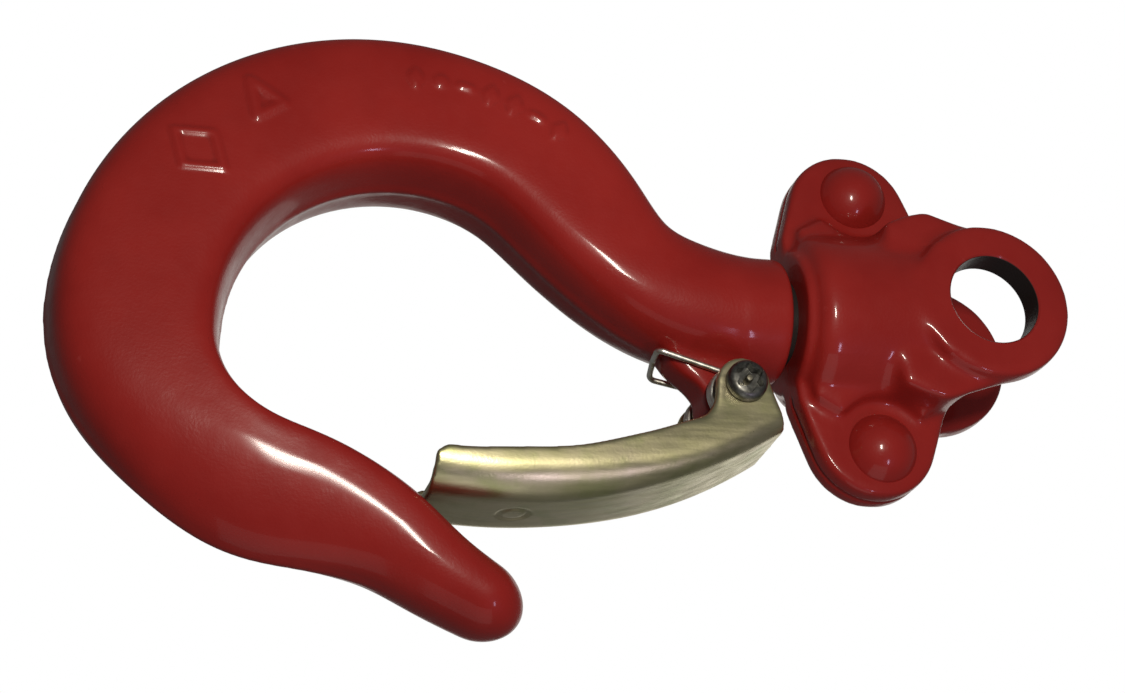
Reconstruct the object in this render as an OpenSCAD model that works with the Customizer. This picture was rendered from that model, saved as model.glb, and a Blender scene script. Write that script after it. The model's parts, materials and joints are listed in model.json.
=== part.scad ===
// Swivel eye hook with a spring latch, for the end of a hoist chain.
// Millimetres. The origin is the middle of the eye bore, whose axis is Y.
// Z runs up along the shank, and the hook opens towards +X.

/* [Hook] */
// Radius of the inside wall of the bowl
bowl_in_r = 25.9; // [25:0.1:27]
// Radius of the outside wall of the bowl
bowl_out_r = 46.3; // [45:0.1:47]
// Thickness of the hook across its flat faces
hook_t = 20; // [18:0.5:21]
// Diameter of the round neck under the yoke
neck_d = 19; // [18:0.5:19]
// Diameter of the swivel stem inside the yoke
stem_d = 13; // [12:0.1:13]
// Diameter of the upset collar that holds the stem
collar_d = 18; // [17:0.1:18]

/* [Yoke] */
// Diameter of the eye bores for the chain pin
eye_d = 14; // [12:0.5:15]
// Outer radius of each eye
eye_r = 12.2; // [11.6:0.1:12.5]
// Width across the outer faces of the two ears
ears_w = 26.8; // [26:0.1:27]
// Width of the chain gap between the ears
gap_w = 17.6; // [16:0.2:18]
// Radius of the barrel round the swivel stem
barrel_r = 13.5; // [13.3:0.1:13.7]
// Distance of each rivet from the swivel axis
rivet_x = 20.6; // [20:0.1:21]
// Diameter of the rivet shanks
rivet_d = 6; // [5:0.1:6.4]

/* [Latch] */
// Width across the latch flanges
latch_w = 20; // [19.8:0.1:20.2]
// Thickness of the latch sheet
latch_t = 1.5; // [1.2:0.1:1.6]
// Height of the latch flanges
flange_h = 6.5; // [5.4:0.1:6.6]
// Outer radius of the rounded pivot screw head
screw_head_r = 3; // [2.9:0.1:3.4]
// Diameter of the spring wire
wire_d = 0.9; // [0.7:0.05:0.95]
// Mean radius of the spring coils
coil_r = 3.6; // [3.5:0.05:3.8]

/* [Hidden] */
$fn = 64;
eps = 0.02;

// Running clearance of a turning fit, and of a pushed-in part
run_gap = 0.05;
push_gap = 0.03;

// Heights along the swivel axis
shoulder_z = -30;
neck_end_z = -36.5;
nose_z = -28.5;
barrel_z = -27.3;
barrel_top_z = -7;
cavity_z = [-23.5, -16.3];
collar_z = [-23.2, -17.2];

// Latch pivot, and the arc that the latch sheet is bent to
pivot = [14.3, -39.3];
latch_c = [-44.7, -73];
latch_r = 76.4;
latch_bend_r = 5;
latch_tip_a = -8.8;
latch_heel_a = 33.1;
pivot_ear_r = 4;
sleeve_r = 2.5;
sleeve_wall = 0.7;
lug_t = 6.8;
lug_r = 3.7;

// ---- Hook: one forged bar, swept along a smooth curve ----

// A station is [x, z, half depth, half width, squareness]. The depth lies in
// the hook's plane. A squareness of 2 is an ellipse, and more is boxier.
bowl_in_c = [8.4, -86.3];
bowl_out_c = [6.7, -89.8];
bowl_a0 = 167;
bowl_step = 18;
bowl_n = 7;
half_t = hook_t / 2;

// Distance from the inner centre to the outer wall, in direction a
function outer_reach(a) =
    let (d = bowl_out_c - bowl_in_c,
         along = d.x * cos(a) + d.y * sin(a),
         across = d.y * cos(a) - d.x * sin(a))
    along + sqrt(bowl_out_r * bowl_out_r - across * across);

// A B-spline runs inside its stations, so those on an arc are moved out to suit
arc_out = 3 / (2 + cos(bowl_step));

function bowl_station(i) =
    let (a = bowl_a0 + i * bowl_step,
         reach = outer_reach(a),
         r = (reach + bowl_in_r) / 2 * arc_out)
    [bowl_in_c.x + r * cos(a), bowl_in_c.y + r * sin(a),
     (reach - bowl_in_r) / 2, half_t, 5.4];

neck_stations = [
    [0, -30, neck_d / 2 - 0.05, neck_d / 2 - 0.05, 2],
    [0, -37, neck_d / 2 - 0.05, neck_d / 2 - 0.05, 2],
    [-1.9, -45.7, 9.4, half_t - 0.5, 2.3],
    [-5.7, -53.5, 8.1, half_t - 0.4, 3.2],
    [-13.7, -59.6, 10.2, half_t - 0.2, 4.6],
    [-22.8, -67.1, 10.4, half_t, 5.3]];

tip_stations = [
    [22.6, -118.5, 8.9, half_t - 0.2, 5.2],
    [30, -109, 9.3, half_t - 0.5, 4.4],
    [31.4, -100.9, 8.8, half_t - 0.8, 3.6],
    [35.5, -89.6, 6.9, half_t - 1.4, 2.7],
    [41, -83, 5.7, half_t - 2.2, 2.3],
    [47.3, -71.4, 4.8, half_t - 3.5, 2]];

stations = concat(neck_stations,
    [for (i = [0 : bowl_n - 1]) bowl_station(i)], tip_stations);
segments = len(stations) - 1;

// The ends carry one mirrored station each, so that the curve starts and stops on them
padded = concat([2 * stations[0] - stations[1]], stations,
    [2 * stations[segments] - stations[segments - 1]]);

// Uniform cubic B-spline, and its direction in the XZ plane
function curve(t) =
    let (i = min(floor(t), segments - 1), u = t - i)
    (pow(1 - u, 3) * padded[i]
        + (3 * pow(u, 3) - 6 * u * u + 4) * padded[i + 1]
        + (3 * u + 3 * u * u - 3 * pow(u, 3) + 1) * padded[i + 2]
        + pow(u, 3) * padded[i + 3]) / 6;
function heading(t) =
    let (d = curve(min(t + 0.01, segments)) - curve(t - 0.01))
    [d[0], d[1]] / norm([d[0], d[1]]);

// Power of a cosine or sine that keeps its sign
function spow(v, p) = sign(v) * pow(abs(v), p);

// One ring of the bar: the section at t, shrunk by k. Its side walls lean in
// from mid width by the draft, more so the boxier it is.
ring_sides = 32;
draft = 0.03;
function ring(t, k) =
    let (s = curve(t), h = heading(t), out = [h.y, -h.x])
    [for (j = [0 : ring_sides - 1])
        let (a = 360 * j / ring_sides,
             c = spow(cos(a), 2 / s[4]),
             w = spow(sin(a), 2 / s[4]),
             u = k * s[2] * c * (1 - draft * (s[4] - 2) * abs(w)))
        [s[0] + u * out.x, k * s[3] * w, s[1] + u * out.y]];

// The rounded tip closes over the last part of the curve
bar_start = 0.5;
ring_step = 0.25;
cap_len = 0.46;
cap_rings = 5;
bar_rings = concat(
    [for (t = [bar_start : ring_step : segments - cap_len]) ring(t, 1)],
    [for (i = [0 : cap_rings - 1])
        let (a = 90 * i / cap_rings)
        ring(segments - cap_len + cap_len * sin(a), cos(a))]);

// Closes rings of points into one solid: flat at the first, pointed at the end
module skin(rings, end_point) {
    n = len(rings[0]);
    m = len(rings);
    points = [for (r = rings, p = r) p];
    walls = [for (i = [0 : m - 2], j = [0 : n - 1])
        let (a = i * n + j, b = i * n + (j + 1) % n)
        each [[a, a + n, b], [b, a + n, b + n]]];
    start = [[for (j = [0 : n - 1]) j]];
    end = [for (j = [0 : n - 1])
        [(m - 1) * n + j, m * n, (m - 1) * n + (j + 1) % n]];
    polyhedron(points = concat(points, [end_point]),
        faces = concat(walls, start, end));
}

module bar() {
    last = curve(segments);
    skin(bar_rings, [last[0], 0, last[1]]);
}

// A flat outline in the XZ plane, thickened evenly to both sides of y
module plate(y, t) {
    translate([0, y + t / 2, 0])
        rotate([90, 0, 0])
            linear_extrude(t)
                children();
}

// A round bar along Y through the point p of the XZ plane, from y0 to y1
module rod_y(p, r, y0, y1) {
    translate([p.x, y1, p.y])
        rotate([90, 0, 0])
            cylinder(r = r, h = y1 - y0);
}

// Ear on the inside of the neck that carries the latch
module pivot_lug() {
    plate(0, lug_t) {
        translate(pivot)
            circle(lug_r);
        polygon([[4, -35.6], [14.3, -35.6], [16, -42.6], [12.8, -42.8],
            [11.4, -43.6], [9.8, -45.9], [8.3, -47.6], [2, -48.6]]);
    }
}

module hook() {
    color("firebrick")
        difference() {
            union() {
                bar();
                translate([0, 0, neck_end_z])
                    cylinder(d = neck_d, h = shoulder_z - neck_end_z);
                translate([0, 0, shoulder_z - eps])
                    cylinder(d = stem_d, h = collar_z[0] - shoulder_z + 2 * eps);
                translate([0, 0, collar_z[0]])
                    cylinder(d = collar_d, h = collar_z[1] - collar_z[0]);
                pivot_lug();
            }
            rod_y(pivot, sleeve_r + run_gap, -lug_t, lug_t);
        }
}

// ---- Yoke: two forged halves that meet on the plane y = 0 ----

lug_c = [18.3, -16.8];
lug_out_r = 9.6;
lug_half_t = 3.3;
flare_half_w = 11;
shoulder = [14.2, -5];
skirt = [13, -28.4];
rivet_z = -16.2;
rivet_head_r = 5.25;
rivet_head_h = 3.7;
pocket_r = 7.6;
saddle_r = 12.6;
barrel_edge_r = 2.5;
half_gap = gap_w / 2;

// Point just inside the circle (c, r) where a line from p ends that almost
// touches it, on the given side. The small sink makes the two cross cleanly.
sink = 0.05;
function touch(p, c, r, side) =
    let (q = r - sink, d = norm(c - p), l = sqrt(d * d - q * q),
         a = atan2(c.y - p.y, c.x - p.x) + side * asin(q / d))
    p + l * [cos(a), sin(a)];

module both_sides() {
    children();
    mirror([1, 0, 0])
        children();
}

// Outline of the flat lugs that the rivets pass through
module lug_outline() {
    both_sides() {
        translate(lug_c)
            circle(lug_out_r);
        polygon([[0, skirt.y], skirt, touch(skirt, lug_c, lug_out_r, -1), lug_c,
            touch(shoulder, lug_c, lug_out_r, 1), shoulder, [11, -7], [0, -14]]);
    }
}

// Outline of the web that widens from the eye down to the lugs
module flare_outline() {
    both_sides()
        polygon([[0, 4.8], [11, 4.8], shoulder, [15.3, -8], [13.5, -15], [0, -15]]);
}

module barrel() {
    rotate_extrude() {
        polygon([[0, nose_z], [barrel_r - barrel_edge_r, nose_z],
            [barrel_r - barrel_edge_r, barrel_z + barrel_edge_r],
            [barrel_r, barrel_z + barrel_edge_r], [barrel_r, barrel_top_z],
            [0, barrel_top_z]]);
        translate([barrel_r - barrel_edge_r, barrel_z + barrel_edge_r])
            circle(barrel_edge_r);
    }
}

module yoke_half() {
    difference() {
        union() {
            barrel();
            plate(lug_half_t / 2, lug_half_t)
                lug_outline();
            plate(flare_half_w / 2, flare_half_w)
                flare_outline();
            rod_y([0, 0], eye_r, half_gap, ears_w / 2);
        }
        // the other half, the chain gap and the pin bore
        translate([-50, -50, -50])
            cube([100, 50, 100]);
        rod_y([0, 0], saddle_r, -1, half_gap);
        translate([-20, -1, shoulder.y])
            cube([40, half_gap + 1, 20]);
        rod_y([0, 0], eye_d / 2, -1, ears_w);
        // swivel bore and the room for the collar
        translate([0, 0, nose_z - 1])
            cylinder(d = stem_d + 2 * run_gap, h = 10);
        translate([0, 0, cavity_z[0]])
            cylinder(d = collar_d + 0.6, h = cavity_z[1] - cavity_z[0]);
        // rivet holes, and scalloped room round the rivet heads
        both_sides() {
            rod_y([rivet_x, rivet_z], rivet_d / 2 + push_gap, -1, lug_half_t + 1);
            rod_y([rivet_x, rivet_z], pocket_r, lug_half_t, ears_w);
        }
    }
}

module yoke_rear() {
    color("firebrick")
        yoke_half();
}

module yoke_front() {
    color("firebrick")
        mirror([0, 1, 0])
            yoke_half();
}

// Domed head that stands on the plane z = 0
module dome(r, h) {
    ball_r = (r * r + h * h) / (2 * h);
    rotate_extrude()
        intersection() {
            translate([0, h - ball_r])
                circle(ball_r);
            square([r, h]);
        }
}

module rivet(x) {
    color("firebrick") {
        rod_y([x, rivet_z], rivet_d / 2, -lug_half_t - eps, lug_half_t + eps);
        for (side = [-1, 1])
            translate([x, side * lug_half_t, rivet_z])
                rotate([-90 * side, 0, 0])
                    dome(rivet_head_r, rivet_head_h);
    }
}

module rivet_left() {
    rivet(-rivet_x);
}

module rivet_right() {
    rivet(rivet_x);
}

// ---- Latch and what it turns on ----

// Point at radius r and angle a from the centre of the latch's arc
function on_latch(r, a) = latch_c + r * [cos(a), sin(a)];

// Points along an arc about c, from angle a0 to a1
function arc(c, r, a0, a1, n) =
    [for (i = [0 : n]) c + r * [cos(a0 + (a1 - a0) * i / n), sin(a0 + (a1 - a0) * i / n)]];

// One side's cross-section of the channel, from the middle of the web to the
// edge of the flange: the outside of the sheet, and back along its inside
bend_steps = 6;
module channel_half() {
    c = [latch_r - latch_bend_r, latch_w / 2 - latch_bend_r];
    edge = latch_r - flange_h;
    polygon(concat(
        [[latch_r - latch_t, 0], [latch_r, 0]],
        arc(c, latch_bend_r, 0, 90, bend_steps),
        [[edge, latch_w / 2], [edge, latch_w / 2 - latch_t]],
        arc(c, latch_bend_r - latch_t, 90, 0, bend_steps)));
}

module latch_channel() {
    translate([latch_c.x, 0, latch_c.y])
        rotate([90, 0, 0])
            rotate([0, 0, latch_tip_a])
                rotate_extrude(angle = latch_heel_a - latch_tip_a, $fn = 96) {
                    channel_half();
                    mirror([0, 1])
                        channel_half();
                }
}

// Ears at the heel that the pivot sleeve passes through. Their outer edge stays
// on the flat of the flange, and their end stays just short of the channel's.
flat_r = latch_r - latch_bend_r - 0.1;
ear_end_a = latch_heel_a - 0.4;
ear_top_r = 67.8;
module latch_ear(side) {
    plate(side * (latch_w - latch_t) / 2, latch_t)
        intersection() {
            union() {
                translate(pivot)
                    circle(pivot_ear_r);
                polygon([pivot, on_latch(ear_top_r, ear_end_a), on_latch(flat_r + 1, ear_end_a),
                    on_latch(flat_r + 1, 21), [20.3, -46.3], [18.7, -44.4],
                    [17, -43.6], [14.3, -43.3]]);
            }
            translate(latch_c)
                circle(flat_r, $fn = 180);
        }
}

module latch() {
    color("darkkhaki")
        difference() {
            union() {
                difference() {
                    latch_channel();
                    rod_y(pivot, sleeve_r + run_gap + 0.25, -latch_w, latch_w);
                }
                latch_ear(-1);
                latch_ear(1);
            }
            rod_y(pivot, sleeve_r + run_gap, -latch_w, latch_w);
        }
}

// Double torsion spring, one wire: leg, coil, the bail behind the lug, coil, leg
spring_in_y = lug_t / 2 + 0.7;
coil_pitch = 1.05;
coil_a0 = 163;
coil_sweep = 843;
coil_sides = 18;
coil_n = round(coil_sweep / 360 * coil_sides);
bail = [7.2, 0, -49.4];
bail_bend_r = 0.9;
bail_bend_n = 3;
leg_end = [25.3, -51];
wire_sides = 8;

function unit(v) = v / norm(v);
function mirror_y(p) = [p.x, -p.y, p.z];

function coil_point(k) =
    let (a = coil_a0 - coil_sweep * k)
    [pivot.x + coil_r * cos(a), spring_in_y + coil_pitch * coil_sweep / 360 * k,
     pivot.y + coil_r * sin(a)];

// The rounded corner from the bail's cross piece, along Y, into its leg
bail_up = unit([coil_point(0).x, 0, coil_point(0).z] - bail);
function bail_corner(a) =
    bail + bail_up * bail_bend_r * (1 - cos(a))
        + [0, spring_in_y - bail_bend_r * (1 - sin(a)), 0];

half_wire = concat(
    [for (i = [0 : bail_bend_n]) bail_corner(90 * i / bail_bend_n)],
    [for (i = [0 : coil_n]) coil_point(i / coil_n)],
    [[leg_end.x, coil_point(1).y, leg_end.y]]);
half_n = len(half_wire);
wire = concat([for (i = [half_n - 1 : -1 : 0]) mirror_y(half_wire[i])], half_wire);

// The wire's section at point i. Its first axis lies in the XZ plane, and the
// sign of that axis changes at the middle, where the wire turns back.
function wire_ring(i) =
    let (d = wire[min(i + 1, 2 * half_n - 1)] - wire[max(i - 1, 0)],
         side = (i < half_n ? 1 : -1) * unit([-d.z, 0, d.x]),
         up = unit(cross(side, d)))
    [for (j = [0 : wire_sides - 1])
        let (a = 360 * j / wire_sides)
        wire[i] + wire_d / 2 * (side * cos(a) - up * sin(a))];

module latch_spring() {
    color("silver")
        skin([for (i = [0 : 2 * half_n - 1]) wire_ring(i)],
            wire[2 * half_n - 1] + [0.05, 0, -0.08]);
}

sleeve_half_w = latch_w / 2 + 0.1;
screw_r = sleeve_r - sleeve_wall - run_gap;
screw_head_h = 2.5;
socket_r = 1.6;
socket_pin_r = 0.5;
nut_flats = 6;
nut_h = 2.9;
screw_end = sleeve_half_w + nut_h + 0.6;

module latch_sleeve() {
    color("gray")
        difference() {
            rod_y(pivot, sleeve_r, -sleeve_half_w, sleeve_half_w);
            rod_y(pivot, sleeve_r - sleeve_wall, -latch_w, latch_w);
        }
}

// Security screw: a six-sided socket with a pin standing in it
module latch_screw() {
    color("dimgray") {
        rod_y(pivot, screw_r, -sleeve_half_w - 0.5, screw_end);
        difference() {
            translate([pivot.x, -sleeve_half_w, pivot.y])
                rotate([90, 0, 0])
                    dome(screw_head_r, screw_head_h);
            translate([pivot.x, -sleeve_half_w - screw_head_h / 2, pivot.y])
                rotate([90, 0, 0])
                    cylinder(r = socket_r, h = screw_head_h, $fn = 6);
        }
        rod_y(pivot, socket_pin_r, -sleeve_half_w - screw_head_h + 0.3, -sleeve_half_w);
    }
}

module latch_nut() {
    color("gray")
        difference() {
            translate([pivot.x, sleeve_half_w + nut_h, pivot.y])
                rotate([90, 0, 0])
                    cylinder(d = nut_flats / cos(30), h = nut_h, $fn = 6);
            rod_y(pivot, screw_r + push_gap, sleeve_half_w - 1, screw_end + 1);
        }
}

hook();
yoke_front();
yoke_rear();
rivet_left();
rivet_right();
latch();
latch_spring();
latch_sleeve();
latch_screw();
latch_nut();
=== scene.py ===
import json
import math
import bmesh
import bpy
import numpy as np
from mathutils import Matrix, Vector


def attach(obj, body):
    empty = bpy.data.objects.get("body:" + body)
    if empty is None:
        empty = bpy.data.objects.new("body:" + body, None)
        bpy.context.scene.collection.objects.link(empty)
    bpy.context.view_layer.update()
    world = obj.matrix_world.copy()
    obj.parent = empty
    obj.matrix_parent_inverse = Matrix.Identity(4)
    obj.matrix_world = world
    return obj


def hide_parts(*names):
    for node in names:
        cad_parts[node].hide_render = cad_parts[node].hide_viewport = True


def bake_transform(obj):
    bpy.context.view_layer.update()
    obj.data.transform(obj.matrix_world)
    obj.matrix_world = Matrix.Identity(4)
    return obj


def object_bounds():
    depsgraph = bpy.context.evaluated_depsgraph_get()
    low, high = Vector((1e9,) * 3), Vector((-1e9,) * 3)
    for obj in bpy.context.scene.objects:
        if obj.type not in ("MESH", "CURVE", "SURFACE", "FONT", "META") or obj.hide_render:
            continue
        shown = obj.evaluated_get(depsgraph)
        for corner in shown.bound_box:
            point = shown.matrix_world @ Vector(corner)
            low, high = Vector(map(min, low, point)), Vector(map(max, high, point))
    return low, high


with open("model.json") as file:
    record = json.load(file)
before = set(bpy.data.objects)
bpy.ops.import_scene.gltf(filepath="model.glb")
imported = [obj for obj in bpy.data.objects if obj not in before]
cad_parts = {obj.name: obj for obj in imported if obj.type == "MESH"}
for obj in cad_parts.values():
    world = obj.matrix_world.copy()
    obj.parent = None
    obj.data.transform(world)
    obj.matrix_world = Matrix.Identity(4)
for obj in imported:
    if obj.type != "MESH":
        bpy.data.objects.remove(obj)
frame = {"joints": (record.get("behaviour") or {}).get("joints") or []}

MM = 0.001
cad_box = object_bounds()
joint_at = {j["name"]: j["pos_m"] for j in frame["joints"]}
PIVOT = np.array([joint_at["latch_pivot"][0], joint_at["latch_pivot"][2]]) / MM

# ---- Sizes shared with the CAD model, in millimetres ----
BOWL_IN_R, BOWL_IN_C = 25.9, np.array([8.4, -86.3])
BOWL_OUT_R, BOWL_OUT_C = 46.3, np.array([6.7, -89.8])
HALF_T = 10.0
NECK_R = 9.5
STEM_R = 6.5
COLLAR_R = 9.0
SHOULDER_Z = -30.0
COLLAR_Z = (-23.2, -17.2)
CAVITY_R, CAVITY_Z = COLLAR_R + 0.3, (-23.5, -16.3)
EYE_R, EYE_BORE_R = 12.2, 7.0
EAR_IN_Y, EAR_OUT_Y = 8.8, 13.4
BARREL_R = 13.5
NOSE_R = 11.0
NOSE_Z, BARREL_Z, BARREL_TOP_Z = -28.5, -27.3, -7.0
SADDLE_R = 12.6
LUG_C, LUG_R, LUG_Y = np.array([18.3, -16.8]), 9.6, 3.3
WEB_Y = 5.6
SKIRT = np.array([13.0, -28.4])
SHOULDER = np.array([14.2, -5.0])
FLARE_Y = 11.0
RIVET = np.array([20.6, -16.2])
RIVET_R, RIVET_HEAD_R, RIVET_HEAD_H = 3.0, 5.25, 3.7
POCKET_R = 7.6
LATCH_LUG_R, LATCH_LUG_Y = 3.75, 3.45
LATCH_C, LATCH_R = np.array([-44.7, -73.0]), 76.4
LATCH_HALF_W, SHEET_T, FLANGE_H, BEND_R = 10.0, 1.5, 6.5, 5.0
LATCH_TIP_A, LATCH_HEEL_A = math.radians(-8.8), math.radians(33.1)
HEEL_SKEW, HEEL_SLANT = math.radians(0.2), math.radians(0.75)
EAR_R = 4.0
SLEEVE_R, SLEEVE_IN_R, SLEEVE_Y = 2.5, 1.8, 10.1
SCREW_R, SCREW_HEAD_R, SCREW_HEAD_H, SCREW_END = 1.75, 3.0, 2.2, 13.6
NUT_FLATS, NUT_H = 6.0, 2.9
WIRE_R, COIL_R, COIL_PITCH = 0.45, 3.6, 1.05
COIL_A0, COIL_SWEEP = math.radians(163), math.radians(843)
SPRING_IN_Y = 4.1
BAIL = np.array([7.2, -49.4])
LEG_END = np.array([25.3, -51.0])
BORE_GAP = 0.05


# ---- Solids: each is (points, faces), in millimetres ----
def arc(centre, r, a0, a1, n):
    """Points of an arc in a plane, from angle a0 to a1."""
    a = np.linspace(a0, a1, n + 1)
    return np.c_[centre[0] + r * np.cos(a), centre[1] + r * np.sin(a)]


def circle(centre, r, n=96):
    return arc(centre, r, 0, 2 * math.pi, n)[:-1]


def loft(rings):
    """Skin over a stack of rings with equal numbers of points, closed flat at both ends."""
    rings = np.asarray(rings, float)
    m, n = rings.shape[:2]
    faces = [list(range(n))[::-1], [(m - 1) * n + j for j in range(n)]]
    for i in range(m - 1):
        for j in range(n):
            k = (j + 1) % n
            faces.append([i * n + j, i * n + k, (i + 1) * n + k, (i + 1) * n + j])
    return rings.reshape(-1, 3), faces


def prism(outline, y0, y1):
    """An outline in the XZ plane, thickened from y0 to y1."""
    o = np.asarray(outline, float)
    return loft([np.c_[o[:, 0], np.full(len(o), y), o[:, 1]] for y in (y0, y1)])


def lathe(profile, n=128):
    """A profile of (radius, height) turned about Z. Its ends close flat."""
    a = np.linspace(0, 2 * math.pi, n + 1)[:-1]
    return loft([np.c_[r * np.cos(a), r * np.sin(a), np.full(n, z)] for r, z in profile])


def along_y(solid, at, direction=1):
    """Turns a lathed solid so that its height runs along +Y or -Y from the point at of the XZ plane."""
    p, faces = solid
    return np.c_[at[0] + p[:, 0], direction * p[:, 2], at[1] + p[:, 1]], faces


def mirror(solid, axis):
    p, faces = solid
    p = p.copy()
    p[:, axis] *= -1
    return p, [f[::-1] for f in faces]


def both(solid, axis):
    return [solid, mirror(solid, axis)]


def tangent_point(p, centre, r, side):
    """Where a line from p touches the circle, on the given side of it."""
    d = np.linalg.norm(centre - p)
    a = math.atan2(*(centre - p)[::-1]) + side * math.asin(r / d)
    return p + math.sqrt(d * d - r * r) * np.array([math.cos(a), math.sin(a)])


def tube(path, r, sides=16, cap_steps=4):
    """A round wire along a path, with rounded ends."""
    path = np.asarray(path, float)
    d = np.gradient(path, axis=0)
    d /= np.linalg.norm(d, axis=1)[:, None]
    u = np.cross(d[0], [0.3, 0.2, 0.9])
    rings = []
    a = np.linspace(0, 2 * math.pi, sides + 1)[:-1]
    for i, (p, t) in enumerate(zip(path, d)):
        u = u - t * np.dot(u, t)
        u /= np.linalg.norm(u)
        v = np.cross(t, u)
        spokes = np.outer(np.cos(a), u) + np.outer(np.sin(a), v)
        caps = np.linspace(0.15, 1, cap_steps) * math.pi / 2
        if i == 0:
            rings += [p - t * r * math.cos(c) + r * math.sin(c) * spokes for c in caps]
        elif i == len(path) - 1:
            rings += [p + t * r * math.cos(c) + r * math.sin(c) * spokes for c in caps[::-1]]
        else:
            rings.append(p + r * spokes)
    return loft(rings)


# ---- Objects ----
def make(name, *solids):
    """One object that holds all these solids, with its faces turned outwards."""
    points, faces, start = [], [], 0
    for p, f in solids:
        points.append(p)
        faces += [[start + i for i in face] for face in f]
        start += len(p)
    mesh = bpy.data.meshes.new(name)
    mesh.from_pydata(np.vstack(points).tolist(), [], faces)
    bm = bmesh.new()
    bm.from_mesh(mesh)
    bmesh.ops.recalc_face_normals(bm, faces=bm.faces)
    bm.to_mesh(mesh)
    bm.free()
    obj = bpy.data.objects.new(name, mesh)
    bpy.context.scene.collection.objects.link(obj)
    return obj


def apply_modifiers(obj):
    result = bpy.data.meshes.new_from_object(obj.evaluated_get(bpy.context.evaluated_depsgraph_get()))
    obj.modifiers.clear()
    old, obj.data = obj.data, result
    bpy.data.meshes.remove(old)


def fuse(obj, voxel):
    """Joins overlapping solids into one even skin."""
    m = obj.modifiers.new("fuse", "REMESH")
    m.mode = "VOXEL"
    m.voxel_size = voxel
    apply_modifiers(obj)


def combine(obj, operation, *solids):
    """Cuts solids out of obj, joins them to it or keeps only what they share, one after another."""
    for solid in solids:
        tool = make("tool", solid)
        m = obj.modifiers.new("combine", "BOOLEAN")
        m.operation, m.object, m.solver = operation, tool, "MANIFOLD"
        apply_modifiers(obj)
        bpy.data.meshes.remove(tool.data)


def points_of(obj):
    p = np.empty(len(obj.data.vertices) * 3, np.float32)
    obj.data.vertices.foreach_get("co", p)
    return p.reshape(-1, 3).astype(float)


def set_points(obj, p):
    obj.data.vertices.foreach_set("co", p.astype(np.float32).ravel())
    obj.data.update()


def soften(obj, steps, weight=None):
    """Rounds edges and fills corners: each step moves a point halfway to the mean of its neighbours."""
    p = points_of(obj)
    e = np.empty(len(obj.data.edges) * 2, np.int32)
    obj.data.edges.foreach_get("vertices", e)
    a, b = e.reshape(-1, 2).T
    count = np.bincount(np.r_[a, b], minlength=len(p))[:, None]
    w = 0.5 * (np.ones(len(p)) if weight is None else weight(p))[:, None]
    ends, others = np.r_[a, b], np.r_[b, a]
    for _ in range(steps):
        total = np.stack([np.bincount(ends, p[others, k], len(p)) for k in range(3)], 1)
        p = p + w * (total / count - p)
    set_points(obj, p)


def finish(obj, material, body=None, replaces=(), sharp=38):
    """Turns a piece into metres, gives it its finish and fixes it to its body."""
    obj.data.transform(Matrix.Scale(MM, 4))
    obj.data.shade_smooth()
    obj.data.set_sharp_from_angle(angle=math.radians(sharp))
    obj.data.materials.clear()
    obj.data.materials.append(material)
    if body:
        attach(obj, body)
    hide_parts(*replaces)


def smoothstep(x, lo, hi):
    t = np.clip((x - lo) / (hi - lo), 0, 1)
    return t * t * (3 - 2 * t)


# ---- Materials ----
class Nodes:
    """A material and short ways to add nodes to it. Coordinates are the piece's own, in metres."""

    def __init__(self, name):
        self.material = bpy.data.materials.new(name)
        self.material.use_nodes = True
        self.tree = self.material.node_tree
        self.bsdf = self.tree.nodes["Principled BSDF"]
        self.where = self.tree.nodes.new("ShaderNodeTexCoord").outputs["Object"]

    def add(self, kind, inputs=(), **settings):
        node = self.tree.nodes.new(kind)
        for key, value in settings.items():
            setattr(node, key, value)
        for key, value in dict(inputs).items():
            self.put(node.inputs[key], value)
        return node

    def put(self, socket, value):
        if isinstance(value, bpy.types.NodeSocket):
            self.tree.links.new(value, socket)
        else:
            socket.default_value = value

    def noise(self, size_mm, detail=3, rough=0.55, stretch=(1, 1, 1)):
        """Noise whose features are about size_mm across, from 0 to 1."""
        vector = self.where
        if stretch != (1, 1, 1):
            vector = self.add("ShaderNodeMapping", {"Vector": vector, "Scale": stretch}).outputs[0]
        noise = self.add("ShaderNodeTexNoise", {
            "Vector": vector, "Scale": 1 / (size_mm * MM), "Detail": detail, "Roughness": rough})
        return noise.outputs["Fac"]

    def span(self, value, from_lo, from_hi, to_lo=0.0, to_hi=1.0):
        """Carries from_lo..from_hi over to to_lo..to_hi, and stops at both ends."""
        spread = self.add("ShaderNodeMapRange", {
            "Value": value, "From Min": from_lo, "From Max": from_hi, "To Min": to_lo, "To Max": to_hi})
        return spread.outputs[0]

    def math(self, operation, a, b):
        return self.add("ShaderNodeMath", {0: a, 1: b}, operation=operation).outputs[0]

    def mix(self, factor, a, b):
        return self.add("ShaderNodeMix", {0: factor, 6: a, 7: b}, data_type="RGBA").outputs[2]

    def bump(self, *layers):
        """Stacks bumps of (height, distance in mm, strength)."""
        normal = None
        for height, distance, strength in layers:
            inputs = {"Height": height, "Distance": distance * MM, "Strength": strength}
            if normal is not None:
                inputs["Normal"] = normal
            normal = self.add("ShaderNodeBump", inputs).outputs[0]
        self.put(self.bsdf.inputs["Normal"], normal)

    def set(self, **values):
        for key, value in values.items():
            self.put(self.bsdf.inputs[key.replace("_", " ")], value)


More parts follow.
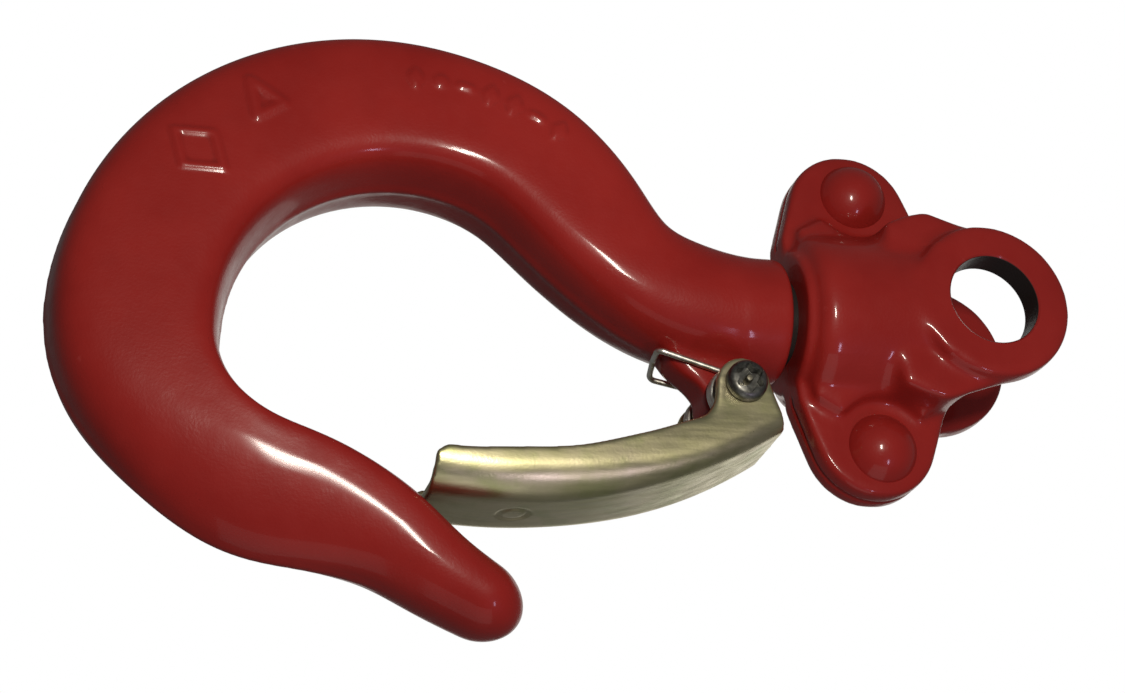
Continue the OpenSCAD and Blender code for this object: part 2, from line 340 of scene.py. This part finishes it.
def enamel(name, shaded_bare_part, coat):
    """Glossy red enamel over a forged skin: orange peel, painted shade in concave corners, worn high spots.

    The hook's stem and the yoke's eye bores carry no enamel and get a near-black steel colour, partly the
    oily steel's own and partly painted shade in the gap round the stem and inside the bores.
    The weight of the clear coat over the paint is coat."""
    n = Nodes(name)
    x, _, z = n.add("ShaderNodeSeparateXYZ", {0: n.where}).outputs
    pointiness = n.add("ShaderNodeNewGeometry").outputs["Pointiness"]
    broad = n.span(n.noise(18, 4), 0.35, 0.65)
    red = n.mix(broad, (0.24, 0.012, 0.0095, 1), (0.285, 0.017, 0.0135, 1))
    # painted shade: concave corners, found by pointiness, are darkened towards near black in patches
    corners = n.span(pointiness, 0.49, 0.44)
    painted_corner_shade = n.math("MULTIPLY", corners, n.span(n.noise(3, 4), 0.3, 0.7, 0.2, 0.9))
    red = n.mix(painted_corner_shade, red, (0.05, 0.005, 0.005, 1))
    high_spots = n.span(pointiness, 0.54, 0.60)
    wear = n.math("MULTIPLY", high_spots, n.span(n.noise(1.6, 5, 0.7), 0.52, 0.66, 0, 0.4))
    red = n.mix(wear, red, (0.36, 0.05, 0.045, 1))
    specks = n.span(n.noise(0.9, 2, 0.6), 0.74, 0.80, 0, 0.35)
    red = n.mix(specks, red, (0.12, 0.008, 0.008, 1))
    rough = n.span(n.noise(2.5, 4), 0.3, 0.7, 0.36, 0.5)
    if shaded_bare_part == "stem":
        paint = n.span(z, (SHOULDER_Z - 0.1) * MM, (SHOULDER_Z - 0.5) * MM)
    else:
        from_axis = n.math("SQRT", n.math("ADD", n.math("MULTIPLY", x, x), n.math("MULTIPLY", z, z)), 0)
        paint = n.span(from_axis, (EYE_BORE_R + 0.02) * MM, (EYE_BORE_R + 0.12) * MM)
    # painted shade: the near-black colour of the stem and the eye bores also stands in for the shade in the
    # gap round the stem and inside the bores
    red = n.mix(paint, (0.022, 0.017, 0.016, 1), red)
    n.set(Base_Color=red, Roughness=rough, Specular_IOR_Level=0.12)
    n.set(Coat_Weight=n.math("MULTIPLY", paint, coat), Coat_Roughness=0.11)
    waves, peel, grain = n.noise(8, 2), n.noise(1.3, 2, 0.45), n.noise(0.4, 2, 0.5)
    n.bump((waves, 0.3, 0.12), (peel, 0.04, 0.4), (grain, 0.05, 0.6))
    return n.material


def zinc():
    """Yellow chromate over zinc on rolled sheet: olive and straw patches, rolling streaks, fine scratches."""
    n = Nodes("zinc_chromate")
    patches = n.span(n.noise(9, 5, 0.6), 0.35, 0.65)
    streaks = n.noise(1.2, 4, 0.6, stretch=(1, 1, 0.08))
    tint = n.mix(patches, (0.50, 0.48, 0.25, 1), (0.62, 0.56, 0.36, 1))
    tint = n.mix(n.span(n.noise(5, 3), 0.52, 0.72, 0, 0.6), tint, (0.40, 0.44, 0.18, 1))
    tint = n.mix(n.span(streaks, 0.45, 0.65, 0, 0.2), tint, (0.22, 0.19, 0.12, 1))
    pits = n.span(n.noise(0.5, 3, 0.7), 0.68, 0.76, 0, 0.6)
    tint = n.mix(pits, tint, (0.10, 0.09, 0.06, 1))
    rough = n.span(n.noise(1.6, 4, 0.6, (1, 1, 0.12)), 0.3, 0.7, 0.28, 0.44)
    n.set(Base_Color=tint, Metallic=1.0, Roughness=rough)
    n.bump((streaks, 0.02, 0.15), (n.noise(0.35, 3, 0.6), 0.03, 0.45))
    return n.material


def steel(name, light, dark, roughness, stretch=(1, 1, 1)):
    """Plain or darkened steel with drawing marks and stains."""
    n = Nodes(name)
    stain = n.span(n.noise(1.4, 4, 0.65, stretch), 0.35, 0.68)
    n.set(Base_Color=n.mix(stain, light, dark), Metallic=1.0,
          Roughness=n.span(n.noise(0.6, 3, 0.6), 0.3, 0.7, roughness, roughness + 0.16))
    n.bump((n.noise(0.5, 3, 0.6, stretch), 0.01, 0.3))
    return n.material


ENAMEL = enamel("red_enamel_hook", shaded_bare_part="stem", coat=0.26)
YOKE_ENAMEL = enamel("red_enamel_yoke", shaded_bare_part="eye bores", coat=0.4)
ZINC = zinc()
WIRE = steel("spring_wire", (0.80, 0.79, 0.73, 1), (0.58, 0.56, 0.48, 1), 0.28)
DARK = steel("dark_steel", (0.20, 0.20, 0.185, 1), (0.07, 0.068, 0.06, 1), 0.32)
BRIGHT = steel("bright_pin", (0.62, 0.57, 0.42, 1), (0.35, 0.31, 0.22, 1), 0.28)

# ---- Hook: one forged bar swept along a smooth curve ----
# the face's draft, how a sloping section is rounded, shifted and thinned outwards, and the flash line
DRAFT = 0.03
OUTER_ROUND = 2.1
RIDGE_SHIFT = 0.45
OUTER_THINNING = 0.2
FLASH_H, FLASH_HALF_W, FLASH_FADE = 0.2, 1.1, 0.5
BAR_START, TIP_CAP, CAP_RINGS = 0.5, 0.46, 14
SEGMENT_STEPS = 16
RING_POINTS = 144


def hook_stations():
    """Rows along the bar's middle: x, z, half depth, half width, squareness, slope to the outer edge."""
    neck = [
        [0, -30, NECK_R - 0.05, NECK_R - 0.05, 2, 0],
        [0, -37, NECK_R - 0.05, NECK_R - 0.05, 2, 0],
        [-1.9, -45.7, 9.4, HALF_T - 0.5, 2.3, 0],
        [-5.7, -53.5, 8.1, HALF_T - 0.4, 3.2, 0],
        [-13.7, -59.6, 10.2, HALF_T - 0.2, 4.6, 0],
        [-22.8, -67.1, 10.4, HALF_T, 5.3, 0]]
    tip = [
        [22.6, -118.5, 8.9, HALF_T - 0.2, 5.2, 0.8],
        [30, -109, 9.3, HALF_T - 0.5, 4.4, 1],
        [31.4, -100.9, 8.8, HALF_T - 0.8, 3.6, 1],
        [35.5, -89.6, 6.9, HALF_T - 1.4, 2.7, 0.6],
        [41, -83, 5.7, HALF_T - 2.2, 2.3, 0.2],
        [47.3, -71.4, 4.8, HALF_T - 3.5, 2, 0]]
    bowl = []
    step = math.radians(18)
    offset = BOWL_OUT_C - BOWL_IN_C
    for i in range(7):
        a = math.radians(167) + i * step
        d = np.array([math.cos(a), math.sin(a)])
        across = offset[1] * d[0] - offset[0] * d[1]
        reach = offset @ d + math.sqrt(BOWL_OUT_R ** 2 - across ** 2)
        x, z = BOWL_IN_C + d * (reach + BOWL_IN_R) / 2 * 3 / (2 + math.cos(step))
        bowl.append([x, z, (reach - BOWL_IN_R) / 2, HALF_T, 5.4, 0.2 * max(0, i - 5)])
    return np.array(neck + bowl + tip)


def spline(stations, t):
    """Uniform cubic B-spline that starts and ends on its first and last stations, and its slope."""
    c = np.vstack([2 * stations[0] - stations[1], stations, 2 * stations[-1] - stations[-2]])
    i = np.minimum(t.astype(int), len(stations) - 2)
    u = (t - i)[:, None]
    weights = [(1 - u) ** 3, 3 * u ** 3 - 6 * u ** 2 + 4, 1 + 3 * u + 3 * u ** 2 - 3 * u ** 3, u ** 3]
    slopes = [-(1 - u) ** 2, 3 * u ** 2 - 4 * u, 1 + 2 * u - 3 * u ** 2, u ** 2]
    return (sum(w * c[i + k] for k, w in enumerate(weights)) / 6,
            sum(w * c[i + k] for k, w in enumerate(slopes)) / 2)


def section(half_depth, half_width, squareness, slope):
    """Even points round a drafted forging section, with a trimmed flash line at mid width.

    A slope of 1 moves its ridge towards the inner edge and rounds the face off to the outer one."""
    a = np.linspace(0, 2 * math.pi, 1441)
    power = 2 / np.where(np.cos(a) > 0, squareness + slope * (OUTER_ROUND - squareness), squareness)
    c = np.sign(np.cos(a)) * np.abs(np.cos(a)) ** power
    s = np.sign(np.sin(a)) * np.abs(np.sin(a)) ** power
    u = half_depth * (c * (1 - DRAFT * (squareness - 2) * np.abs(s)) - RIDGE_SHIFT * slope * (1 - c ** 2))
    y = half_width * s * (1 - OUTER_THINNING * slope * (1 + c) / 2)
    ridge = FLASH_H * smoothstep(FLASH_HALF_W - np.abs(y), 0, FLASH_FADE) * (np.abs(c) > 0.5)
    u = u + np.sign(u) * ridge * min(1, max(0, squareness - 2.2) / 0.6)
    run = np.r_[0, np.cumsum(np.hypot(np.diff(u), np.diff(y)))]
    at = np.linspace(0, run[-1], RING_POINTS + 1)[:-1]
    return np.interp(at, run, u), np.interp(at, run, y)


def bar():
    """The swept bar, whose sections shrink to a rounded end over the last part of its course."""
    stations = hook_stations()
    last = len(stations) - 1
    body = np.arange(BAR_START, last - TIP_CAP, 1 / SEGMENT_STEPS)
    roll = np.linspace(0, 0.97, CAP_RINGS) * math.pi / 2
    t = np.r_[body, last - TIP_CAP + TIP_CAP * np.sin(roll)]
    shrink = np.r_[np.ones(len(body)), np.cos(roll)]
    middle, slope = spline(stations, t)
    rings = []
    for row, d, k in zip(middle, slope[:, :2], shrink):
        out = np.array([d[1], -d[0]]) / np.linalg.norm(d)
        u, y = section(*row[2:])
        rings.append(np.c_[row[0] + k * u * out[0], k * y, row[1] + k * u * out[1]])
    return loft(rings)


def capsule(p, a, b, r):
    """Distance outside a round-ended stroke from a to b."""
    a, b = np.array(a), np.array(b)
    t = np.clip((p - a) @ (b - a) / max(1e-9, (b - a) @ (b - a)), 0, 1)
    return np.linalg.norm(p - a - t[:, None] * (b - a), axis=1) - r


def raised_marks(p):
    """Height of the plain raised marks on the front face: a lozenge, a triangle and a row of small shapes."""
    q = p[:, [0, 2]]
    middle = BOWL_IN_C - np.array([1, 0])

    def polar(a, r):
        return middle + r * np.array([math.cos(math.radians(a)), math.sin(math.radians(a))])

    def lozenge(at, half_length, half_width):
        along = (at - middle) / np.linalg.norm(at - middle)
        d = q - at
        lengthwise, sideways = d @ along, d @ [-along[1], along[0]]
        return np.abs(lengthwise) + np.abs(sideways) * half_length / half_width - half_length

    stroke, height = 0.6, 0.38
    row_start, row_step, row_r = 179, 5.6, 38.4
    half_dash, dash_stroke, dot_r = 1.2, 0.5, 1.0
    corners = [polar(209.5, 37.2), polar(216.5, 37.2), polar(213, 42.6)]
    marks = [np.abs(lozenge(polar(231.5, 38.6), 4.4, 3.4)) - stroke - 0.1]
    marks += [capsule(q, corners[i], corners[i - 1], stroke) for i in range(3)]
    for i, kind in enumerate(["lozenge", "dot", "dash", "lozenge", "lozenge", "dash", "lozenge"]):
        a = row_start - row_step * i
        at = polar(a, row_r)
        if kind == "dash":
            marks.append(capsule(q, polar(a - half_dash, row_r), polar(a + half_dash, row_r), dash_stroke))
        elif kind == "lozenge":
            marks.append(lozenge(at, 1.9, 1.2))
        else:
            marks.append(np.linalg.norm(q - at, axis=1) - dot_r)
    return height * (1 - smoothstep(np.min(marks, axis=0), -0.3, 0.45))


def neck_and_lug():
    """The round neck with its shoulder, and the flat lug that carries the latch."""
    rim = 0.9
    neck = lathe(np.r_[[[NECK_R, -37.5]], arc((NECK_R - rim, SHOULDER_Z - rim), rim, 0, math.pi / 2, 6)])
    root = [[4, -35.6], [14.3, -35.6], [16, -42.6], [12.8, -43], [11.4, -44.1], [9.9, -46.3],
            [8.2, -48.1], [2, -49.4]]
    eye = prism(circle(PIVOT, LATCH_LUG_R), -LATCH_LUG_Y, LATCH_LUG_Y)
    return neck, eye, prism(root, -LATCH_LUG_Y, LATCH_LUG_Y)


def stem():
    """The turned part of the forging inside the yoke, with its upset collar."""
    low, high = COLLAR_Z
    profile = [(STEM_R, SHOULDER_Z - 1), (STEM_R, low), (COLLAR_R - 0.4, low), (COLLAR_R, low + 0.4),
               (COLLAR_R, high - 1.2), (COLLAR_R - 0.4, high - 0.4), (COLLAR_R - 1.4, high)]
    return lathe(profile)


def build_hook():
    obj = make("hook_forging", bar(), *neck_and_lug())
    fuse(obj, voxel=0.36)

    def where_lug_meets_neck(p):
        return (np.exp(-((p[:, 0] - 8.6) / 2.6) ** 2) * (np.abs(p[:, 1]) < 8)
                * smoothstep(p[:, 2], -53, -47) * smoothstep(-p[:, 2], 31.5, 34))
    soften(obj, steps=60, weight=where_lug_meets_neck)
    soften(obj, steps=5)
    # the marks stand out of the flat front face only
    p = points_of(obj)
    p[:, 1] -= raised_marks(p) * smoothstep(-p[:, 1], 8.6, 9.4)
    set_points(obj, p)
    soften(obj, steps=1)
    combine(obj, "UNION", stem())
    combine(obj, "DIFFERENCE", prism(circle(PIVOT, SLEEVE_R + BORE_GAP, 64), -5, 5))
    finish(obj, ENAMEL, "hook", ["hook"])


# ---- Yoke: both halves are shaped as one, then parted on y = 0 ----
def yoke_blank():
    edge = 2.6
    barrel = [(NOSE_R, NOSE_Z), (NOSE_R, BARREL_Z - 0.1), (BARREL_R - edge, BARREL_Z)]
    barrel += list(arc((BARREL_R - edge, BARREL_Z + edge), edge, -math.pi / 2, 0, 10))
    barrel += [(BARREL_R, BARREL_TOP_Z)]
    solids = [lathe(barrel, 160)]
    lug = [[0, SKIRT[1]], SKIRT, tangent_point(SKIRT, LUG_C, LUG_R, -1), LUG_C,
           tangent_point(SHOULDER, LUG_C, LUG_R, 1), SHOULDER, [11, -7], [0, -14]]
    web = [[9, -26.6], [13.6, -26.6], [16.6, -21], [17.2, -16.4], [16.6, -10], [13, -7.4], [9, -7.4]]
    flare = [[0, 4.8], [11, 4.8], SHOULDER, [15.3, -8], [13.5, -15], [0, -15]]
    for outline, half_y in ((lug, LUG_Y), (circle(LUG_C, LUG_R), LUG_Y), (web, WEB_Y), (flare, FLARE_Y)):
        solids += both(prism(outline, -half_y, half_y), 0)
    for side in (1, -1):
        solids.append(prism(circle((0, 0), EYE_R, 128), side * EAR_IN_Y, side * EAR_OUT_Y))
    return make("yoke", *solids)


def bore(at, r, y0, y1, chamfer):
    """A drilled hole along Y with broken edges, as the solid to cut away."""
    c = chamfer
    profile = [(r + 2 * c, y0 - c), (r, y0 + c), (r, y1 - c), (r + 2 * c, y1 + c)]
    return along_y(lathe(profile), at)


def build_yoke():
    blank = yoke_blank()
    fuse(blank, voxel=0.4)
    gap_x, gap_top = 20, 20
    gap = [[-gap_x, SHOULDER[1]], [gap_x, SHOULDER[1]], [gap_x, gap_top], [-gap_x, gap_top]]
    combine(blank, "DIFFERENCE",
            prism(gap, -EAR_IN_Y, EAR_IN_Y),
            prism(circle((0, 0), SADDLE_R, 128), -EAR_IN_Y, EAR_IN_Y))
    pocket = prism(circle(RIVET, POCKET_R), LUG_Y, 30)
    for cut_x in both(pocket, 0):
        combine(blank, "DIFFERENCE", *both(cut_x, 1))
    fuse(blank, voxel=0.3)

    def near_nose(p):
        return 0.3 + 0.7 * smoothstep(p[:, 2], -28.2, -25)
    soften(blank, steps=34, weight=near_nose)

    def at_lug_roots(p):
        r = np.hypot(p[:, 0], p[:, 1])
        return (smoothstep(-np.abs(r - 14.5), -4.5, -1) * smoothstep(p[:, 2], -27, -24)
                * smoothstep(-p[:, 2], 4, 9) * (np.abs(p[:, 0]) > 9))
    soften(blank, steps=30, weight=at_lug_roots)

    # a shallow groove shows where the halves meet
    groove_depth, groove_half_w = 0.28, 0.55
    p = points_of(blank)
    edge = smoothstep(-np.abs(p[:, 1]), -groove_half_w, 0)
    lug_x = np.sign(p[:, 0]) * LUG_C[0]
    out = np.c_[p[:, 0] - lug_x, np.zeros(len(p)), p[:, 2] - LUG_C[1]]
    out /= np.linalg.norm(out, axis=1)[:, None] + 1e-9
    outside = (np.hypot(p[:, 0] - lug_x, p[:, 2] - LUG_C[1]) > LUG_R - 2) & (np.abs(p[:, 0]) > 12)
    p -= out * (groove_depth * edge * outside)[:, None]
    set_points(blank, p)

    combine(blank, "DIFFERENCE",
            bore((0, 0), EYE_BORE_R, -EAR_OUT_Y + 0.05, EAR_OUT_Y - 0.05, chamfer=0.25),
            lathe([(STEM_R + BORE_GAP, NOSE_Z - 1), (STEM_R + BORE_GAP, -22)]),
            lathe([(CAVITY_R, CAVITY_Z[0]), (CAVITY_R, CAVITY_Z[1])]),
            *both(prism(circle(RIVET, RIVET_R + BORE_GAP), -10, 10), 0))
    big, split = 60, 0.02
    for name, side, node in (("yoke_half_front", -1, "yoke_front"), ("yoke_half_rear", 1, "yoke_rear")):
        half = bpy.data.objects.new(name, blank.data.copy())
        bpy.context.scene.collection.objects.link(half)
        square = [[-big, -big], [big, -big], [big, big], [-big, big]]
        combine(half, "INTERSECT", prism(square, side * split, side * big))
        finish(half, YOKE_ENAMEL, "yoke", [node])
    bpy.data.objects.remove(blank)


def build_rivets():
    ball = (RIVET_HEAD_R ** 2 + RIVET_HEAD_H ** 2) / (2 * RIVET_HEAD_H)
    edge_a = math.asin((ball - RIVET_HEAD_H) / ball)
    dome = arc((0, LUG_Y + RIVET_HEAD_H - ball), ball, edge_a + 0.16, math.pi / 2 - 0.02, 20)
    dome[:, 0] = np.maximum(dome[:, 0], 0.05)
    skirt = [(RIVET_HEAD_R + 0.1, LUG_Y - 0.15), (RIVET_HEAD_R, LUG_Y + 0.12),
             (RIVET_HEAD_R - 0.12, LUG_Y + 0.45)]
    head = [(RIVET_R, 0.02), (RIVET_R, LUG_Y - 0.15)] + skirt + [tuple(q) for q in dome]
    full = [(r, -h) for r, h in head[::-1][:-1]] + head[1:]
    for name, side in (("rivet_left_piece", -1), ("rivet_right_piece", 1)):
        obj = make(name, along_y(lathe(full, 96), (side * RIVET[0], RIVET[1])))
        finish(obj, YOKE_ENAMEL, "yoke", [name.replace("_piece", "")], sharp=60)


# ---- Latch: bent sheet channel with two ears ----
def latch_channel():
    """Sheet bent over both long edges. The flanges are lower at the tip, the heel is cut slightly askew."""
    corner, low_tip, high_heel = 2.0, 0.8, 0.4
    sharper_heel, skew_from_r = 2.3, 67
    rings = []
    for k in np.linspace(0, 1, 150):
        a = LATCH_TIP_A + k * (LATCH_HEEL_A - LATCH_TIP_A)
        from_tip = (a - LATCH_TIP_A) * LATCH_R
        rise = corner - math.sqrt(max(0, corner ** 2 - max(0, corner - from_tip) ** 2))
        rise += low_tip * (1 - smoothstep(from_tip, 0, 14)) - high_heel * smoothstep(from_tip, 20, 32)
        bend = BEND_R - sharper_heel * smoothstep(from_tip, 16, 46)
        edge = LATCH_R - FLANGE_H + rise
        side = LATCH_HALF_W - bend
        outer = np.vstack([[LATCH_R, 0], arc((LATCH_R - bend, side), bend, 0, math.pi / 2, 14),
                           [edge, LATCH_HALF_W]])
        inner = np.vstack([[edge, LATCH_HALF_W - SHEET_T],
                           arc((LATCH_R - bend, side), bend - SHEET_T, math.pi / 2, 0, 14),
                           [LATCH_R - SHEET_T, 0]])
        half = np.vstack([outer, inner])
        ring = np.vstack([half, (half * [1, -1])[-2:0:-1]])
        turn = a - k * HEEL_SKEW * (ring[:, 0] - skew_from_r)
        turn = turn + k ** 4 * HEEL_SLANT * (1 + ring[:, 1] / LATCH_HALF_W)
        rings.append(np.c_[LATCH_C[0] + ring[:, 0] * np.cos(turn), ring[:, 1],
                           LATCH_C[1] + ring[:, 0] * np.sin(turn)])
    return loft(rings)


def on_latch(r, a):
    return LATCH_C + r * np.array([math.cos(a), math.sin(a)])


def build_latch():
    flat = LATCH_R - BEND_R - 0.1
    foot = arc(LATCH_C, flat, math.radians(20.5), LATCH_HEEL_A - HEEL_SKEW * 4, 8)
    ear = np.vstack([foot, [on_latch(67.8, LATCH_HEEL_A)], PIVOT,
                     [13.8, -43.3], [16.2, -43.7], [17.6, -44.2], [19, -45.3], [20.5, -47.3]])
    solids = [latch_channel()]
    for side in (1, -1):
        y0, y1 = side * (LATCH_HALF_W - SHEET_T), side * LATCH_HALF_W
        solids += [prism(ear, y0, y1), prism(circle(PIVOT, EAR_R), y0, y1)]
    obj = make("latch_sheet", *solids)
    fuse(obj, voxel=0.24)

    def at_ear_root(p):
        return np.exp(-(np.hypot(p[:, 0] - 18.6, p[:, 2] + 45.2) / 2.6) ** 2)
    soften(obj, steps=40, weight=at_ear_root)
    soften(obj, steps=7)
    # a shallow round dimple is pressed into the outside of the web
    p = points_of(obj)
    dimple = np.linalg.norm(p - np.array([31.3, 0, -71.5]), axis=1)
    p[:, 0] -= 0.22 * (1 - smoothstep(np.abs(dimple - 2.1), 0.2, 0.6))
    set_points(obj, p)
    combine(obj, "DIFFERENCE", prism(circle(PIVOT, SLEEVE_R + BORE_GAP, 64), -12, 12))
    finish(obj, ZINC, "latch", ["latch"])


# ---- Spring, sleeve, screw and nut at the pivot ----
def half_wire():
    """From the middle of the bail round its corner, up the leg, through the coil and out to the latch."""
    start = PIVOT + COIL_R * np.array([math.cos(COIL_A0), math.sin(COIL_A0)])
    up = (start - BAIL) / np.linalg.norm(start - BAIL)
    bend = 1.0
    path = [[BAIL[0], y, BAIL[1]] for y in np.linspace(0, SPRING_IN_Y - bend, 5)]
    for a in np.linspace(0, math.pi / 2, 8)[1:]:
        x, z = BAIL + up * bend * (1 - math.cos(a))
        path.append([x, SPRING_IN_Y - bend * (1 - math.sin(a)), z])
    leg = np.linspace(BAIL + up * bend, start, 14)[1:-1]
    path += [[x, SPRING_IN_Y, z] for x, z in leg]
    for k in np.linspace(0, 1, 120):
        a = COIL_A0 - COIL_SWEEP * k
        y = SPRING_IN_Y + COIL_PITCH * COIL_SWEEP / (2 * math.pi) * k
        path.append([PIVOT[0] + COIL_R * math.cos(a), y, PIVOT[1] + COIL_R * math.sin(a)])
    x, y, z = path[-1]
    path += [[px, y, pz] for px, pz in np.linspace((x, z), LEG_END, 14)[1:]]
    return np.array(path)


def build_spring():
    out_y = half_wire()[-1][1]
    for name, side, lean in (("spring_front", -1, (0, -0.5)), ("spring_rear", 1, (1.2, 0.5))):
        # the wire leans a little to one side at the bail, as bent by hand
        path = half_wire()
        down = np.clip((path[:, 2] - PIVOT[1]) / (BAIL[1] - PIVOT[1]), 0, 1) * (path[:, 0] < PIVOT[0])
        down *= np.minimum(1, path[:, 1] / SPRING_IN_Y) * (path[:, 1] <= SPRING_IN_Y + 1e-6)
        path[:, [0, 2]] += down[:, None] * lean
        obj = make(name, tube(path * [1, side, 1], WIRE_R, 14))
        finish(obj, WIRE, replaces=["latch_spring"], sharp=60)
        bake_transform(obj)


def build_fasteners():
    rim = 0.15
    sleeve = make("pivot_sleeve", along_y(lathe([
        (SLEEVE_R - rim, -SLEEVE_Y), (SLEEVE_R, -SLEEVE_Y + rim), (SLEEVE_R, SLEEVE_Y - rim),
        (SLEEVE_R - rim, SLEEVE_Y)], 96), PIVOT))
    combine(sleeve, "DIFFERENCE", along_y(lathe([(SLEEVE_IN_R, -12), (SLEEVE_IN_R, 12)], 96), PIVOT))
    finish(sleeve, DARK, "hook", ["latch_sleeve"])

    head = [(SCREW_HEAD_R - 0.35, 0), (SCREW_HEAD_R, 0.3), (SCREW_HEAD_R, 0.85)]
    head += [tuple(q) for q in arc((SCREW_HEAD_R - 1.1, 0.95), 1.1, 0.1, 1.35, 8)]
    head += [(1.2, SCREW_HEAD_H), (0.05, SCREW_HEAD_H)]
    screw = make("pivot_screw", along_y(lathe([(r, h + SLEEVE_Y) for r, h in head], 128), PIVOT, -1))
    lobes = np.linspace(0, 2 * math.pi, 97)[:-1]
    star_r = 1.9 + 0.3 * np.cos(6 * lobes)
    star = PIVOT + np.c_[star_r * np.cos(lobes), star_r * np.sin(lobes)]
    combine(screw, "DIFFERENCE", prism(star, -SLEEVE_Y - 3, -SLEEVE_Y - 0.45))
    threads = [(SCREW_R - 0.3, -SLEEVE_Y - 0.1)]
    for y in np.arange(-SLEEVE_Y, SCREW_END - 0.7, 0.7):
        threads += [(SCREW_R, y + 0.08), (SCREW_R, y + 0.2), (SCREW_R - 0.28, y + 0.5)]
    threads += [(SCREW_R, SCREW_END - 0.35), (SCREW_R - 0.35, SCREW_END)]
    combine(screw, "UNION", along_y(lathe(threads, 64), PIVOT))
    finish(screw, DARK, "hook", ["latch_screw"], sharp=32)
    pin = make("screw_pin", along_y(lathe([
        (0.55, SLEEVE_Y + 0.5), (0.55, SLEEVE_Y + SCREW_HEAD_H - 0.4), (0.4, SLEEVE_Y + SCREW_HEAD_H - 0.2),
        (0.05, SLEEVE_Y + SCREW_HEAD_H - 0.15)], 48), PIVOT, -1))
    finish(pin, BRIGHT, "hook", ["latch_screw"])

    corner = NUT_FLATS / math.sqrt(3)
    nut = make("pivot_nut", prism(circle(PIVOT, corner, 6), SLEEVE_Y, SLEEVE_Y + NUT_H))
    flat, slope = NUT_FLATS / 2 - 0.1, 0.32
    combine(nut, "INTERSECT", along_y(lathe([
        (flat, SLEEVE_Y - 0.01), (corner + 0.02, SLEEVE_Y + slope), (corner + 0.02, SLEEVE_Y + NUT_H - slope),
        (flat, SLEEVE_Y + NUT_H + 0.01)], 96), PIVOT))
    combine(nut, "DIFFERENCE", along_y(lathe([
        (SCREW_R + 0.45, SLEEVE_Y - 0.1), (SCREW_R + 0.04, SLEEVE_Y + 0.35),
        (SCREW_R + 0.04, SLEEVE_Y + NUT_H - 0.35), (SCREW_R + 0.45, SLEEVE_Y + NUT_H + 0.1)], 96), PIVOT))
    finish(nut, DARK, "hook", ["latch_nut"], sharp=25)


# ---- Studio: floor, light and camera ----
CAMERA_AT = Vector((0.12754, -0.27051, -0.14145))
CAMERA_RIGHT = Vector((0.05301, -0.25610, 0.96520))
CAMERA_UP = Vector((-0.91633, -0.39664, -0.05492))


def build_camera():
    data = bpy.data.cameras.new("camera")
    data.lens, data.sensor_width = 67.94, 36
    data.clip_start, data.clip_end = 0.01, 20
    camera = bpy.data.objects.new("camera", data)
    bpy.context.scene.collection.objects.link(camera)
    right = CAMERA_RIGHT.normalized()
    back = right.cross(CAMERA_UP).normalized()
    up = back.cross(right)
    axes = Matrix((right, up, back)).transposed().to_4x4()
    camera.matrix_world = Matrix.Translation(CAMERA_AT) @ axes
    bpy.context.scene.camera = camera
    return right, up, back


def softbox(name, at, target, size, power, colour, spread=180):
    """A rectangular light of size (width, height) that faces the target. Its spread is in degrees."""
    data = bpy.data.lights.new(name, "AREA")
    data.shape, data.energy, data.color = "RECTANGLE", power, colour
    data.size, data.size_y = size
    data.spread = math.radians(spread)
    light = bpy.data.objects.new(name, data)
    light.matrix_world = Matrix.Translation(at) @ (target - at).to_track_quat("-Z", "Y").to_matrix().to_4x4()
    bpy.context.scene.collection.objects.link(light)


def build_studio(right, up, back):
    middle = Vector((0.005, 0, -0.065))
    main_at = CAMERA_AT + right * 0.058 + up * 0.088 - back * 0.04
    main_target = middle + up * 0.035
    softbox("main_light", main_at, main_target, (0.06, 0.016), 0.265, (1, 0.93, 0.83), spread=125)
    second_at = CAMERA_AT + right * 0.155 - up * 0.13 - back * 0.08
    softbox("second_light", second_at, middle, (0.05, 0.02), 0.08, (0.80, 0.68, 1))
    side = middle + Vector((0.9, -0.1, -0.1))
    softbox("side_light", side, middle, (0.7, 0.7), 1.0, (1, 0.98, 0.95))
    rear = middle + Vector((-0.3, 1.0, 0.5)).normalized() * 0.9
    softbox("rear_light", rear, middle, (0.8, 0.8), 1.9, (1, 0.96, 0.9))

    floor_mesh = bpy.data.meshes.new("floor")
    half_size, below_part = 3.0, 0.28
    s, z = half_size, cad_box[0][2] - below_part
    floor_mesh.from_pydata([(-s, -s, z), (s, -s, z), (s, s, z), (-s, s, z)], [], [(0, 1, 2, 3)])
    floor = bpy.data.objects.new("floor", floor_mesh)
    bpy.context.scene.collection.objects.link(floor)
    n = Nodes("pale_floor")
    n.set(Base_Color=n.mix(n.noise(200, 2), (0.80, 0.80, 0.79, 1), (0.84, 0.84, 0.83, 1)), Roughness=0.8)
    # a pale glow that only the camera sees keeps the floor light without lighting the part
    n.set(Emission_Color=(1, 1, 0.98, 1), Emission_Strength=0.45)
    floor.visible_diffuse = floor.visible_glossy = False
    floor_mesh.materials.append(n.material)

    world = bpy.data.worlds.new("studio")
    world.use_nodes = True
    bpy.context.scene.world = world
    tree = world.node_tree
    seen = tree.nodes.new("ShaderNodeLightPath").outputs["Is Camera Ray"]
    background = tree.nodes["Background"]
    background.inputs["Color"].default_value = (1, 1, 1, 1)
    level = tree.nodes.new("ShaderNodeMapRange")
    level.inputs["To Min"].default_value = 0.13
    level.inputs["To Max"].default_value = 1.0
    tree.links.new(seen, level.inputs["Value"])
    tree.links.new(level.outputs[0], background.inputs["Strength"])
    bpy.context.scene.view_settings.view_transform = "Standard"


build_hook()
build_yoke()
build_rivets()
build_latch()
build_spring()
build_fasteners()
build_studio(*build_camera())
